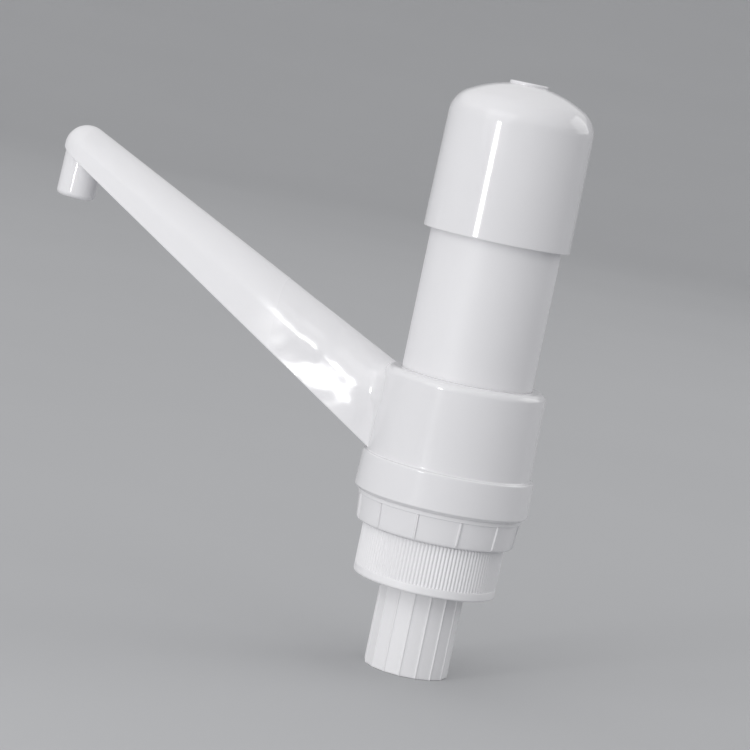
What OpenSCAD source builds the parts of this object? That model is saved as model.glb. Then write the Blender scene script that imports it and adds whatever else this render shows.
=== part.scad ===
// Hand pump for a water jug: a push cap drives a piston in a fixed cylinder, water comes up through
// the tailpiece and its ball valve, and leaves through a flap valve, the spout arm and the nozzle.
// Millimetres. +Z runs up the pump axis, z = 0 is the mouth of the bottle collar, the spout points to -X.

/* [Bottle collar] */
// Diameter of the threaded bore that takes the bottle neck
collar_bore_d = 48.4; // [46:0.1:52]
// Wall outside the thread
collar_wall = 1.8; // [1.5:0.1:3]
// Height of the collar
collar_h = 18.8; // [17:0.1:26]
// Thickness of the ring at the top of the collar
collar_top_t = 2.2; // [1.5:0.1:3]
// Number of grip ribs
collar_ribs = 120; // [60:12:144]
// How far a grip rib stands out
collar_rib_h = 0.4; // [0.2:0.05:0.6]
// Smooth band under the ribs
collar_band_h = 3.1; // [2:0.1:6]
// Radius of the lower outer edge
collar_edge_r = 1.5; // [0.5:0.1:1.5]
// Pitch of the bottle thread
thread_pitch = 5; // [4:0.1:5.6]
// Turns of the bottle thread
thread_turns = 1.6; // [1:0.1:1.7]
// Depth of the bottle thread
thread_depth = 1.1; // [0.6:0.1:1.3]

/* [Tailpiece] */
// Length of the fluted tube below the collar's mouth
tail_l = 32.2; // [26:0.1:60]
// Diameter across the edges of the flats
tail_d = 31.2; // [30:0.1:33]
// Number of flats
tail_facets = 16; // [12:1:24]
// Radius of the bead along each edge
tail_bead_r = 0.35; // [0.2:0.05:0.5]
// Bore that takes the dip tube
socket_d = 25.4; // [20:0.1:26]
// Depth of the dip tube's bore
socket_depth = 22; // [12:0.5:26]
// Bore above the dip tube
riser_d = 19; // [15:0.1:20]
// Thickness of the flange under the collar's ring
flange_t = 2.2; // [1.5:0.1:3]
// Diameter of the spigot inside the base nut
spigot_d = 34.8; // [34:0.1:38]

/* [Base nut] */
// Visible height of the ribbed nut
nut_h = 11; // [9:0.1:16]
// Diameter at its top edge
nut_d = 60.2; // [59.6:0.1:61]
// How much the radius shrinks to the lower edge
nut_taper = 0.6; // [0.2:0.1:1.5]
// Number of ribs
nut_ribs = 12; // [6:1:24]
// Width of a rib
nut_rib_w = 1; // [0.6:0.1:2]
// How far a rib stands out
nut_rib_h = 0.5; // [0.2:0.05:0.8]
// Plain rim above the ribs
nut_rim_h = 1.4; // [1:0.1:3]
// Height of the threaded spigot inside the skirt
nut_spigot_h = 10; // [7:0.1:11]
// Thickness of the floor
nut_floor_t = 2.5; // [2:0.1:4]

/* [Body] */
// Height from the parting line to the shoulder
body_h = 46.1; // [43:0.1:60]
// Diameter at the foot of the body's side
body_d = 60; // [59.8:0.1:60.8]
// Draft of the side, as loss of radius
body_draft = 0.65; // [0:0.05:0.8]
// Wall of the body
body_wall = 2.6; // [2:0.1:2.7]
// Diameter at the lower edge of the skirt
skirt_d = 63.8; // [63.4:0.1:66]
// Draft of the skirt, as loss of radius
skirt_draft = 0.5; // [0:0.1:0.6]
// Height of the skirt above the parting line
skirt_h = 14.2; // [12.8:0.1:15.4]
// Chamfer at the lower edge of the skirt
skirt_chamfer = 1.3; // [0.5:0.1:1.5]
// Radius of the shoulder
shoulder_r = 5; // [3:0.1:5.2]
// Thickness of the top of the body
shoulder_t = 3.8; // [3:0.1:4.5]

/* [Cylinder] */
// Outer diameter of the pump cylinder
cyl_d = 47.5; // [46:0.1:48.2]
// Wall of the cylinder
cyl_wall = 2.35; // [1.8:0.05:3]
// Height of the cylinder above the shoulder
cyl_h = 53.8; // [50:0.1:70]
// Thickness of the guide bush's flange
bush_flange_t = 1.5; // [1:0.1:2]
// Depth of the guide bush in the cylinder
bush_plug_h = 3.7; // [2.5:0.1:5]

/* [Push cap] */
// Travel of the cap
stroke = 40; // [25:1:40]
// Height from the rim to the top of the dome
cap_h = 56.1; // [55.6:0.1:66]
// How far the cap covers the cylinder at rest
cap_overlap = 2.7; // [2:0.1:6]
// Gap between cap and cylinder
cap_gap = 0.4; // [0.3:0.05:0.6]
// Wall of the cap at its rim
cap_wall = 2.5; // [2:0.1:3.2]
// Draft of the cap's side, as loss of radius
cap_draft = 0.4; // [0:0.05:0.6]
// Radius of the dome
dome_r = 42; // [36:0.5:60]
// Radius between dome and side
dome_edge_r = 10.5; // [9:0.1:11.5]
// Diameter of the disc on the crown
crown_d = 14; // [12:0.1:15]
// Height of the disc above its seat
crown_h = 1.1; // [0.8:0.1:1.6]

/* [Piston and spring] */
// Height of the piston
piston_h = 13.8; // [10:0.1:16]
// Diameter of the piston rod
rod_d = 10; // [8:0.1:12]
// Thickness of the piston seal
seal_d = 2.56; // [2:0.02:3.2]
// Mean diameter of the spring
spring_d = 35; // [33.6:0.1:36.4]
// Diameter of the spring wire
wire_d = 1.8; // [1.2:0.1:2]
// Turns of the spring
spring_turns = 11; // [8:1:12]

/* [Spout] */
// Reach of the arm, from the pump axis to the centre of its round end
spout_reach = 158.9; // [130:0.1:200]
// Slope of the arm above horizontal
spout_angle = 27; // [24:0.5:30]
// Height of the arm's middle line above the parting line, at the body
spout_root_h = 31.7; // [31:0.1:33]
// Radius of the arm's round end
tip_r = 8.3; // [7.8:0.1:9.5]
// Depth of the foot below the middle line at the end
tip_depth = 5.6; // [4.6:0.1:6.4]
// Half width at the body
root_w = 10.5; // [10:0.1:11.5]
// Height above the middle line at the body
root_top = 14.5; // [13.5:0.1:15.4]
// Depth of the foot below the middle line at the body
root_depth = 15.9; // [14.5:0.1:16.2]
// Wall of the arm
arm_wall = 2; // [1.6:0.1:2.2]
// Thickness of the plate that closes the arm from below
cover_t = 2; // [1.5:0.1:2.2]
// Outer diameter of the nozzle
nozzle_d = 14.4; // [14:0.1:15.6]
// Bore of the nozzle's mouth
outlet_d = 10.4; // [9:0.1:11]
// Depth of the nozzle's mouth
outlet_depth = 7.5; // [5:0.1:8]
// Outward lean of the nozzle
nozzle_lean = 2.4; // [0:0.1:4]
// Height of the nozzle below the arm's round end
nozzle_l = 18.9; // [18:0.1:30]
// Radius of the nozzle's lower edge
nozzle_edge_r = 1.4; // [0.5:0.1:1.5]

/* [Valves] */
// Diameter of the inlet valve ball
ball_d = 16; // [14:0.1:17]
// Lift of the inlet valve ball
ball_lift = 4.5; // [3:0.1:6]
// Diameter of the hole under the ball
ball_hole_d = 12; // [10:0.1:12]
// Bore of the outlet valve seat
port_d = 8.4; // [7:0.1:8.6]
// Thickness of the outlet flap
flap_t = 1.5; // [1:0.1:1.8]

/* [Seals and gaps] */
// Thickness of the bottle neck gasket
neck_gasket_t = 2; // [1:0.1:3]
// Thickness of the gasket on the base nut
base_gasket_t = 1.1; // [0.8:0.1:2]
// Thickness of the gasket on the cylinder
cyl_gasket_t = 1; // [0.8:0.1:1.6]
// Gap between faces that turn or slide past each other
run_gap = 0.3; // [0.3:0.05:0.5]
// Gap between pieces that are pushed or screwed together
fit_gap = 0.1; // [0.05:0.01:0.15]
// Gap of the piston seal in the cylinder
seal_gap = 0.04; // [0.02:0.01:0.08]

/* [Hidden] */

smooth = 96;
// How far a cutter reaches past the face it cuts, and how far the pieces of one node overlap
over = 1;
join = 0.1;

plastic = [0.90, 0.90, 0.91];
matt_plastic = [0.86, 0.86, 0.87];
inner_plastic = [0.80, 0.83, 0.86];
seal_rubber = [0.16, 0.16, 0.17];
steel = [0.75, 0.76, 0.78];

// Stack of heights, from the collar's mouth up
collar_r = collar_bore_d / 2 + collar_wall;
z_ring = collar_h - collar_top_t;
z_flange = z_ring - run_gap;
z_gasket = z_flange - flange_t;
z_nut = collar_h + run_gap;
z_part = z_nut + nut_h;
z_thread_top = z_part + nut_spigot_h;
z_bell = z_thread_top + base_gasket_t;
z_shoulder = z_part + body_h;
z_roof = z_shoulder - shoulder_t;
z_bell_top = z_roof - cyl_gasket_t;
z_cyl_top = z_shoulder + cyl_h;
z_bush_top = z_cyl_top + bush_flange_t;
z_piston_top = z_cyl_top - bush_plug_h - run_gap;
z_piston = z_piston_top - piston_h;
z_rim = z_cyl_top - cap_overlap;
z_dome = z_rim + cap_h;
boss_clear = 0.8;
z_stop = z_bush_top + stroke + boss_clear;
recess_depth = 4.1;
recess_floor_t = 2;
tenon_l = 5;
z_recess = z_dome - recess_depth;
z_boss = z_recess - recess_floor_t - tenon_l;

// Radii
flange_r = collar_bore_d / 2 - thread_depth - run_gap;
spigot_r = spigot_d / 2;
neck_step = 1.5;
neck_r = spigot_r + neck_step;
nut_r = nut_d / 2;
skirt_r = skirt_d / 2;
body_r = body_d / 2;
body_top_r = body_r - body_draft;
draft_share = 0.25;
bore_r = body_top_r - body_wall + draft_share * body_draft;
nut_spigot_r = bore_r - fit_gap;
nut_wall = 2.4;
nut_bore_r = nut_spigot_r - nut_wall;
cyl_r = cyl_d / 2;
cyl_bore_r = cyl_r - cyl_wall;
bell_r = bore_r - fit_gap;
bell_wall = 2.1;
bell_bore_r = bell_r - bell_wall;
cap_bore_r = cyl_r + cap_gap;
cap_rim_r = cap_bore_r + cap_wall;
cap_top_r = cap_rim_r - cap_draft;
piston_r = cyl_bore_r - run_gap;
rod_r = rod_d / 2;

// Boss of the base nut and what stands on it
boss_wall = 3;
boss_r = spigot_r + fit_gap + boss_wall;
boss_h = 9.9;
z_boss_top = z_nut + boss_h;
seat_wall = 3.2;
seat_r = spigot_r - seat_wall;
seat_t = 3.4;
seat_sink = 0.6;
z_seat = z_boss_top - seat_t - seat_sink;
z_seat_top = z_seat + seat_t;
cage_flange_t = 1.4;
z_cage = z_boss_top + cage_flange_t;
ball_r = ball_d / 2;
ball_seat_gap = 0.1;
z_ball = z_seat_top + sqrt(ball_r * ball_r - ball_hole_d * ball_hole_d / 4) + ball_seat_gap;
cage_clear = 0.4;
z_cage_roof = z_ball + ball_r + ball_lift + cage_clear;
cage_roof_t = 1.8;
cage_side_gap = 0.8;
cage_bore_r = ball_r + cage_side_gap;
cage_post_t = 2.4;
cage_r = cage_bore_r + cage_post_t;
o_ring_d = 1.76;

// Spout arm: T is the centre of its round end, local x runs from T towards the body
tip_x = -spout_reach;
root_x = -body_r;
z_tip = z_part + spout_root_h + (spout_reach - body_r) * tan(spout_angle);
arm_l = (spout_reach - body_r) / cos(spout_angle);
top_slope = (root_top - tip_r) / arm_l;
rise = (spout_reach - body_r) * tan(spout_angle);
z_foot = z_tip - tip_depth;
foot_slope = (rise - tip_depth + root_depth) / (spout_reach - body_r);
width_slope = (root_w - tip_r) / arm_l;
arm_bite = 10;
arm_in = arm_l + arm_bite;
arch_steps = 24;
inner_steps = 12;
dome_steps = 6;
bulkhead_t = 2.4;
x_bulkhead = -(body_r + bulkhead_t);
cover_gap = fit_gap;
cover_proud = 0.05;
nozzle_r = nozzle_d / 2;
nozzle_shift = 1.1;
nozzle_x = tip_x - nozzle_shift;
z_nozzle = z_tip - nozzle_l;
outlet_r = outlet_d / 2;
throat_step = 1.2;
outlet_throat_r = outlet_r - throat_step;

// Outlet valve
port_drop = 1.3;
z_port = z_part + spout_root_h - port_drop;
port_r = port_d / 2;
port_tube_wall = 2.2;
port_tube_r = port_r + port_tube_wall;
port_spigot_bore_r = port_tube_r + fit_gap;
port_spigot_wall = 1.4;
port_spigot_r = port_spigot_bore_r + port_spigot_wall;
port_flange_step = 0.9;
port_flange_r = port_spigot_bore_r + port_flange_step;
port_flange_t = 1.4;
port_lip_w = 0.8;
port_lip_r = port_r + port_lip_w;
port_lip_h = 0.9;
x_port_in = -bore_r - fit_gap;
x_port_end = x_bulkhead - port_flange_t - port_lip_h;
flap_lap = 0.6;
flap_r = port_lip_r + flap_lap;
flap_gap = 0.1;
x_flap = x_port_end - flap_gap;
pin_r = 0.8;
pin_gap = 0.06;
ear_pin_gap = 0.02;
barrel_r = 1.4;
pin_x = x_flap - flap_t / 2;
pin_z = z_port + flap_r + barrel_r + flap_gap;
pin_l = 8.4;
ear_t = 1.2;
ear_bite = 2;
barrel_l = pin_l - 2 * ear_t - 2 * run_gap;
tab_step = 0.6;

// A disc or tube along Z from z0 to z1
module ring(r_out, r_in, z0, z1) {
    translate([0, 0, z0]) difference() {
        cylinder(h = z1 - z0, r = r_out, $fn = smooth);
        if (r_in > 0) translate([0, 0, -over]) cylinder(h = z1 - z0 + 2 * over, r = r_in, $fn = smooth);
    }
}

// A rod along X from x0 to x1, x0 < x1, at height z
module rod_x(r, x0, x1, z) {
    translate([x0, 0, z]) rotate([0, 90, 0]) cylinder(h = x1 - x0, r = r, $fn = smooth);
}

// A rod along Y, centred on the XZ plane
module rod_y(r, l, x, z) {
    translate([x, 0, z]) rotate([90, 0, 0]) cylinder(h = l, r = r, center = true, $fn = smooth);
}

// ---- bottle side -------------------------------------------------------------------------------

collar_core_r = collar_r - collar_rib_h;
collar_rib_fill = 0.62;
collar_rib_sides = 8;

module collar_profile() {
    difference() {
        union() {
            translate([0, collar_edge_r]) square([collar_r, collar_band_h - collar_edge_r]);
            square([collar_r - collar_edge_r, collar_edge_r + collar_rib_h]);
            translate([collar_r - collar_edge_r, collar_edge_r]) circle(collar_edge_r, $fn = smooth);
        }
        translate([0, -over]) square([collar_bore_d / 2, collar_h]);
    }
}

// The ribbed wall above the smooth band
module collar_wall_outline(bore) {
    rib_r = PI * collar_r / collar_ribs * collar_rib_fill;
    difference() {
        union() {
            circle(collar_core_r, $fn = smooth);
            for (i = [0 : collar_ribs - 1])
                rotate(i * 360 / collar_ribs)
                    translate([collar_r - rib_r, 0]) circle(rib_r, $fn = collar_rib_sides);
        }
        circle(bore, $fn = smooth);
    }
}

thread_sides = 24;
thread_root_w = 2.6;
thread_crest_w = 1.1;
thread_z0 = 2.2;
thread_bite = 0.4;
thread_fade = 4;
thread_least = 0.15;

function thread_ring(i) =
    let (
        steps = thread_sides * thread_turns,
        a = i * 360 / thread_sides,
        z = thread_z0 + i * thread_pitch / thread_sides,
        fade = min(1, i / thread_fade, (steps - i) / thread_fade),
        root = collar_bore_d / 2 + thread_bite,
        crest = collar_bore_d / 2 - max(thread_least, thread_depth * fade)
    )
    [
        [root * cos(a), root * sin(a), z - thread_root_w / 2],
        [crest * cos(a), crest * sin(a), z - thread_crest_w / 2],
        [crest * cos(a), crest * sin(a), z + thread_crest_w / 2],
        [root * cos(a), root * sin(a), z + thread_root_w / 2]
    ];

// Skin over rings of n points each, closed by flat ends
module skin(rings) {
    n = len(rings[0]);
    m = len(rings);
    points = [for (r = rings) for (p = r) p];
    sides = [
        for (i = [0 : m - 2]) for (j = [0 : n - 1])
            let (k = (j + 1) % n)
            for (t = [
                [i * n + k, i * n + j, (i + 1) * n + k],
                [(i + 1) * n + k, i * n + j, (i + 1) * n + j]
            ]) t
    ];
    ends = [[for (j = [0 : n - 1]) j], [for (j = [n - 1 : -1 : 0]) (m - 1) * n + j]];
    polyhedron(points, concat(sides, ends), convexity = 6);
}

module bottle_collar() {
    thread_steps = floor(thread_sides * thread_turns);
    color(matt_plastic) union() {
        rotate_extrude($fn = smooth) collar_profile();
        translate([0, 0, collar_band_h]) linear_extrude(z_ring - collar_band_h)
            collar_wall_outline(collar_bore_d / 2);
        translate([0, 0, z_ring]) linear_extrude(collar_top_t) collar_wall_outline(neck_r + run_gap);
        skin([for (i = [0 : thread_steps]) thread_ring(i)]);
    }
}

tail_bead_sides = 16;

module tail_outline() {
    edge_r = tail_d / 2 - tail_bead_r;
    polygon([for (i = [0 : tail_facets - 1])
        [edge_r * cos(i * 360 / tail_facets), edge_r * sin(i * 360 / tail_facets)]]);
    for (i = [0 : tail_facets - 1])
        rotate(i * 360 / tail_facets)
            translate([edge_r, 0]) circle(tail_bead_r, $fn = tail_bead_sides);
}

tail_turn = 5;
groove_h = 2.4;
groove_d = 1.8;
groove_rise = 5;
z_groove = z_nut + groove_rise;

module tailpiece() {
    z_top = z_boss_top;
    color(matt_plastic) difference() {
        union() {
            rotate(tail_turn) translate([0, 0, -tail_l])
                linear_extrude(tail_l + z_gasket + join) tail_outline();
            ring(flange_r, 0, z_gasket, z_flange);
            ring(neck_r, 0, z_flange - join, z_nut);
            ring(spigot_r, 0, z_nut - join, z_top);
        }
        translate([0, 0, -tail_l - over]) cylinder(h = socket_depth + over, d = socket_d, $fn = smooth);
        translate([0, 0, -tail_l]) cylinder(h = tail_l + z_top + over, d = riser_d, $fn = smooth);
        translate([0, 0, z_seat]) cylinder(h = z_top, r = seat_r + fit_gap, $fn = smooth);
        ring(spigot_r + over, spigot_r - groove_d, z_groove, z_groove + groove_h);
    }
}

module neck_gasket() {
    gasket_in = tail_d / 2 + run_gap;
    color(seal_rubber) ring(flange_r, gasket_in, z_gasket - neck_gasket_t, z_gasket);
}

module tail_o_ring() {
    centre_r = spigot_r + fit_gap - o_ring_d / 2;
    color(seal_rubber) translate([0, 0, z_groove + groove_h / 2])
        rotate_extrude($fn = smooth) translate([centre_r, 0]) circle(d = o_ring_d, $fn = smooth);
}

// ---- base nut ----------------------------------------------------------------------------------

nut_edge_r = 1.6;
nut_panel_inset = 0.4;
nut_rib_bite = 0.5;

module nut_side(grow) {
    low_r = nut_r - nut_panel_inset - nut_taper + grow;
    top_r = nut_r - nut_panel_inset + grow;
    polygon([
        [0, nut_edge_r], [low_r, nut_edge_r], [top_r, nut_h - nut_rim_h], [0, nut_h - nut_rim_h]
    ]);
    square([low_r - nut_edge_r, nut_edge_r + join]);
    translate([low_r - nut_edge_r, nut_edge_r]) circle(nut_edge_r, $fn = smooth);
}

module nut_rib(angle) {
    rotate(angle) rotate_extrude(angle = 2 * asin(nut_rib_w / 2 / nut_r), $fn = smooth)
        difference() {
            nut_side(nut_rib_h);
            square([nut_r - nut_taper - nut_edge_r - nut_rib_bite, nut_h]);
        }
}

nut_turn = -2;

module base_nut() {
    color(plastic) translate([0, 0, z_nut]) difference() {
        union() {
            rotate_extrude($fn = smooth) nut_side(0);
            for (i = [0 : nut_ribs - 1]) nut_rib(nut_turn + i * 360 / nut_ribs);
            ring(nut_r, 0, nut_h - nut_rim_h - join, nut_h);
            ring(nut_spigot_r, 0, nut_h - join, nut_h + nut_spigot_h);
        }
        difference() {
            translate([0, 0, nut_floor_t]) cylinder(h = nut_h + nut_spigot_h, r = nut_bore_r, $fn = smooth);
            ring(boss_r, 0, 0, boss_h);
        }
        translate([0, 0, -over]) cylinder(h = boss_h + 2 * over, r = spigot_r + fit_gap, $fn = smooth);
    }
}

module base_gasket() {
    color(seal_rubber) ring(nut_spigot_r, bell_bore_r, z_thread_top, z_bell);
}

// ---- inlet valve -------------------------------------------------------------------------------

module inlet_seat() {
    color(inner_plastic) ring(seat_r, ball_hole_d / 2, z_seat, z_seat_top);
}

module inlet_ball() {
    color(steel) translate([0, 0, z_ball]) sphere(r = ball_r, $fn = smooth);
}

cage_posts = 4;
cage_post_w = 4;
cage_flange_inset = 0.4;
cage_flange_r = boss_r - cage_flange_inset;

module inlet_cage() {
    color(inner_plastic) difference() {
        union() {
            ring(seat_r, 0, z_seat_top, z_boss_top + join);
            ring(cage_flange_r, 0, z_boss_top, z_cage);
            intersection() {
                ring(cage_r, 0, z_boss_top, z_cage_roof + cage_roof_t);
                for (i = [0 : cage_posts / 2 - 1])
                    rotate(i * 360 / cage_posts) translate([-cage_r, -cage_post_w / 2, z_boss_top])
                        cube([2 * cage_r, cage_post_w, z_cage_roof + cage_roof_t - z_boss_top]);
            }
            ring(cage_r, 0, z_cage_roof, z_cage_roof + cage_roof_t);
        }
        translate([0, 0, z_seat_top - over])
            cylinder(h = z_cage_roof - z_seat_top + over, r = cage_bore_r, $fn = smooth);
    }
}

// ---- spring ------------------------------------------------------------------------------------

spring_steps = 12;
spring_sides = 6;
end_turn_gap = 0.5;
end_pitch = wire_d + end_turn_gap;
spring_l = z_piston - z_cage - wire_d;
mid_pitch = (spring_l - 2 * end_pitch) / (spring_turns - 2);
echo(least_gap_between_turns = min(end_pitch, mid_pitch) - wire_d);

function spring_z(t) =
    t < 1 ? end_pitch * t
    : t > spring_turns - 1 ? spring_l - end_pitch * (spring_turns - t)
    : end_pitch + mid_pitch * (t - 1);

function spring_ring(i) =
    let (t = i / spring_steps, a = t * 360)
    [for (j = [0 : spring_sides - 1])
        let (
            b = j * 360 / spring_sides,
            r = spring_d / 2 + wire_d / 2 * cos(b),
            z = z_cage + wire_d / 2 + spring_z(t) + wire_d / 2 * sin(b)
        )
        [r * cos(a), r * sin(a), z]];

module return_spring() {
    color(steel) skin([for (i = [spring_turns * spring_steps : -1 : 0]) spring_ring(i)]);
}

// ---- body and cylinder -------------------------------------------------------------------------

step_r = 1.4;
skirt_overhang = 0.2;

// Outer outline of the body, filled in to the axis
module body_outline() {
    skirt_top_r = skirt_r - skirt_draft;
    polygon([
        [0, z_part], [nut_r + skirt_overhang, z_part], [skirt_r, z_part + skirt_chamfer],
        [skirt_top_r, z_part + skirt_h - step_r], [0, z_part + skirt_h - step_r]
    ]);
    translate([skirt_top_r - step_r, z_part + skirt_h - step_r]) circle(step_r, $fn = smooth);
    translate([0, z_part]) square([skirt_top_r - step_r, skirt_h]);
    polygon([
        [0, z_part + skirt_h - join], [body_r, z_part + skirt_h - join],
        [body_top_r, z_shoulder - shoulder_r], [0, z_shoulder - shoulder_r]
    ]);
    translate([0, z_part]) square([body_top_r - shoulder_r, body_h]);
    translate([body_top_r - shoulder_r, z_shoulder - shoulder_r]) circle(shoulder_r, $fn = smooth);
}

module pump_body() {
    color(plastic) difference() {
        rotate_extrude($fn = smooth) body_outline();
        translate([0, 0, z_part - over]) cylinder(h = z_roof - z_part + over, r = bore_r, $fn = smooth);
        translate([0, 0, z_roof - over])
            cylinder(h = shoulder_t + 2 * over, r = cyl_r + fit_gap, $fn = smooth);
        rod_x(port_spigot_r + fit_gap, -body_r - over, 0, z_port);
    }
}

bell_top_t = 1.8;
tube_edge_r = 0.8;

module pump_cylinder() {
    color(plastic) difference() {
        union() {
            ring(bell_r, 0, z_bell, z_bell_top);
            rotate_extrude($fn = smooth) {
                translate([0, z_bell]) square([cyl_r, z_cyl_top - tube_edge_r - z_bell]);
                translate([0, z_bell]) square([cyl_r - tube_edge_r, z_cyl_top - z_bell]);
                translate([cyl_r - tube_edge_r, z_cyl_top - tube_edge_r]) circle(tube_edge_r, $fn = smooth);
            }
        }
        translate([0, 0, z_bell - over])
            cylinder(h = z_bell_top - bell_top_t - z_bell + over, r = bell_bore_r, $fn = smooth);
        translate([0, 0, z_bell]) cylinder(h = z_cyl_top, r = cyl_bore_r, $fn = smooth);
        rod_x(port_spigot_r, -body_r, 0, z_port);
    }
}

module cylinder_gasket() {
    color(seal_rubber) ring(bell_r, cyl_r + fit_gap, z_bell_top, z_roof);
}

vents = 4;
vent_r = 1.6;
vent_turn = 45;
bush_rim_inset = 1.2;

module guide_bush() {
    plug_r = cyl_bore_r - fit_gap;
    bush_h = bush_plug_h + bush_flange_t;
    color(inner_plastic) difference() {
        union() {
            ring(plug_r, 0, z_cyl_top - bush_plug_h, z_cyl_top + join);
            ring(cyl_r - bush_rim_inset, 0, z_cyl_top, z_bush_top);
        }
        translate([0, 0, z_cyl_top - bush_plug_h - over])
            cylinder(h = bush_h + 2 * over, r = rod_r + run_gap, $fn = smooth);
        for (i = [0 : vents - 1])
            rotate(i * 360 / vents + vent_turn)
                translate([(rod_r + plug_r) / 2, 0, z_cyl_top - bush_plug_h - over])
                    cylinder(h = bush_h + 2 * over, r = vent_r, $fn = smooth);
    }
}

// ---- piston, rod and cap -----------------------------------------------------------------------

piston_neck_r = 3.6;
seal_z = z_piston + piston_h / 2;
seal_side_gap = 0.2;
seal_groove_h = seal_d + seal_side_gap;
screw_r = 2;
screw_gap = 0.05;
head_r = 5.6;
head_h = 2.2;
screw_l = 12;
screw_end_gap = 2;
cap_screw_l = 9;
cap_head_h = 2;
shank_end_gap = 0.4;

module piston() {
    groove_floor = cyl_bore_r - seal_gap - seal_d;
    color(inner_plastic) difference() {
        ring(piston_r, piston_neck_r + fit_gap, z_piston, z_piston_top);
        ring(piston_r + over, groove_floor, seal_z - seal_groove_h / 2, seal_z + seal_groove_h / 2);
    }
}

module piston_seal() {
    color(seal_rubber) translate([0, 0, seal_z]) rotate_extrude($fn = smooth)
        translate([cyl_bore_r - seal_gap - seal_d / 2, 0]) circle(d = seal_d, $fn = smooth);
}

module piston_screw() {
    color(steel) {
        ring(head_r, 0, z_piston - head_h, z_piston);
        ring(screw_r, 0, z_piston - join, z_piston + screw_l);
    }
}

module piston_rod() {
    color(inner_plastic) difference() {
        union() {
            ring(rod_r, 0, z_piston_top, z_boss);
            ring(piston_neck_r, 0, z_piston + shank_end_gap, z_piston_top + join);
            ring(piston_neck_r, 0, z_boss - join, z_boss + tenon_l);
        }
        translate([0, 0, z_piston])
            cylinder(h = screw_l + screw_end_gap, r = screw_r + screw_gap, $fn = smooth);
        translate([0, 0, z_boss + tenon_l - screw_l])
            cylinder(h = screw_l + over, r = screw_r + screw_gap, $fn = smooth);
    }
}

// Half outline of the cap, w wide at the rim and w - draft at the top of its side, dome offset by t
module dome_outline(w, draft, t) {
    edge_r = dome_edge_r - t;
    big_r = dome_r - t;
    edge_x = cap_top_r - dome_edge_r;
    dome_z = z_dome - dome_r;
    edge_z = dome_z + sqrt(pow(dome_r - dome_edge_r, 2) - pow(edge_x, 2));
    tangent = atan2(edge_x, edge_z - dome_z);
    polygon([[0, z_rim], [w, z_rim], [w - draft, edge_z], [0, edge_z]]);
    translate([edge_x, edge_z]) intersection() {
        circle(edge_r, $fn = smooth);
        square(edge_r + over);
    }
    intersection() {
        translate([0, dome_z]) circle(big_r, $fn = 2 * smooth);
        polygon([
            [0, edge_z], [edge_x, edge_z],
            [edge_x + edge_r * sin(tangent), edge_z + edge_r * cos(tangent)],
            [edge_x + edge_r * sin(tangent), edge_z + 2 * edge_r], [0, edge_z + 2 * edge_r]
        ]);
    }
}

cap_boss_r = 8.5;
cap_shell_t = 2.3;
screw_head_r = 4.4;
disc_fit = 0.2;
disc_edge_r = 0.4;
disc_sink = 0.6;
disc_step = 0.8;
disc_plug_h = 0.5;
z_disc = z_dome - disc_sink;
disc_r = crown_d / 2;

module push_cap() {
    color(plastic) difference() {
        rotate_extrude($fn = smooth) dome_outline(cap_rim_r, cap_draft, 0);
        difference() {
            rotate_extrude($fn = smooth) union() {
                dome_outline(cap_bore_r, cap_bore_r - (cap_top_r - cap_shell_t), cap_shell_t);
                translate([0, z_rim - over]) square([cap_bore_r, 2 * over]);
            }
            ring(cap_boss_r, 0, z_stop, z_dome);
        }
        translate([0, 0, z_rim]) cylinder(h = z_boss - z_rim, r = rod_r + fit_gap, $fn = smooth);
        translate([0, 0, z_boss - over])
            cylinder(h = tenon_l + over, r = piston_neck_r + fit_gap, $fn = smooth);
        translate([0, 0, z_boss]) cylinder(h = z_dome - z_boss, r = screw_r + screw_gap, $fn = smooth);
        translate([0, 0, z_recess]) cylinder(h = z_dome, r = disc_r - disc_step, $fn = smooth);
        translate([0, 0, z_disc]) cylinder(h = z_dome, r = disc_r + disc_fit, $fn = smooth);
    }
}

module cap_screw() {
    color(steel) {
        ring(screw_head_r, 0, z_recess, z_recess + cap_head_h);
        ring(screw_r, 0, z_recess - recess_floor_t - cap_screw_l, z_recess + join);
    }
}

module crown_disc() {
    color(plastic) {
        translate([0, 0, z_disc]) rotate_extrude($fn = smooth) {
            square([disc_r, crown_h - disc_edge_r]);
            square([disc_r - disc_edge_r, crown_h]);
            translate([disc_r - disc_edge_r, crown_h - disc_edge_r]) circle(disc_edge_r, $fn = smooth);
        }
        ring(disc_r - disc_step - fit_gap, 0, z_disc - disc_plug_h, z_disc + join);
    }
}

// ---- spout -------------------------------------------------------------------------------------

// A point of the arch over the arm at local x, t running from 0 on one side to 180 on the other
function arch_point(x, inset, t) =
    let (
        w = tip_r + width_slope * x - inset,
        top = tip_r + top_slope * x - inset
    )
    [
        tip_x + x * cos(spout_angle) + top * sin(t) * sin(spout_angle),
        w * cos(t),
        z_tip - x * sin(spout_angle) + top * sin(t) * cos(spout_angle)
    ];

// A point of the round end, lean running from the arch at 0 to level at 1
function end_point(inset, t, lean) =
    let (
        r = tip_r - inset,
        turn = spout_angle - lean * (90 + spout_angle)
    )
    [tip_x + r * sin(t) * sin(turn), r * cos(t), z_tip + r * sin(t) * cos(turn)];

// The same place on the foot, lowered by drop
function on_foot(p, drop) = [p[0], p[1], z_foot + (tip_x - p[0]) * foot_slope - drop];

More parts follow.
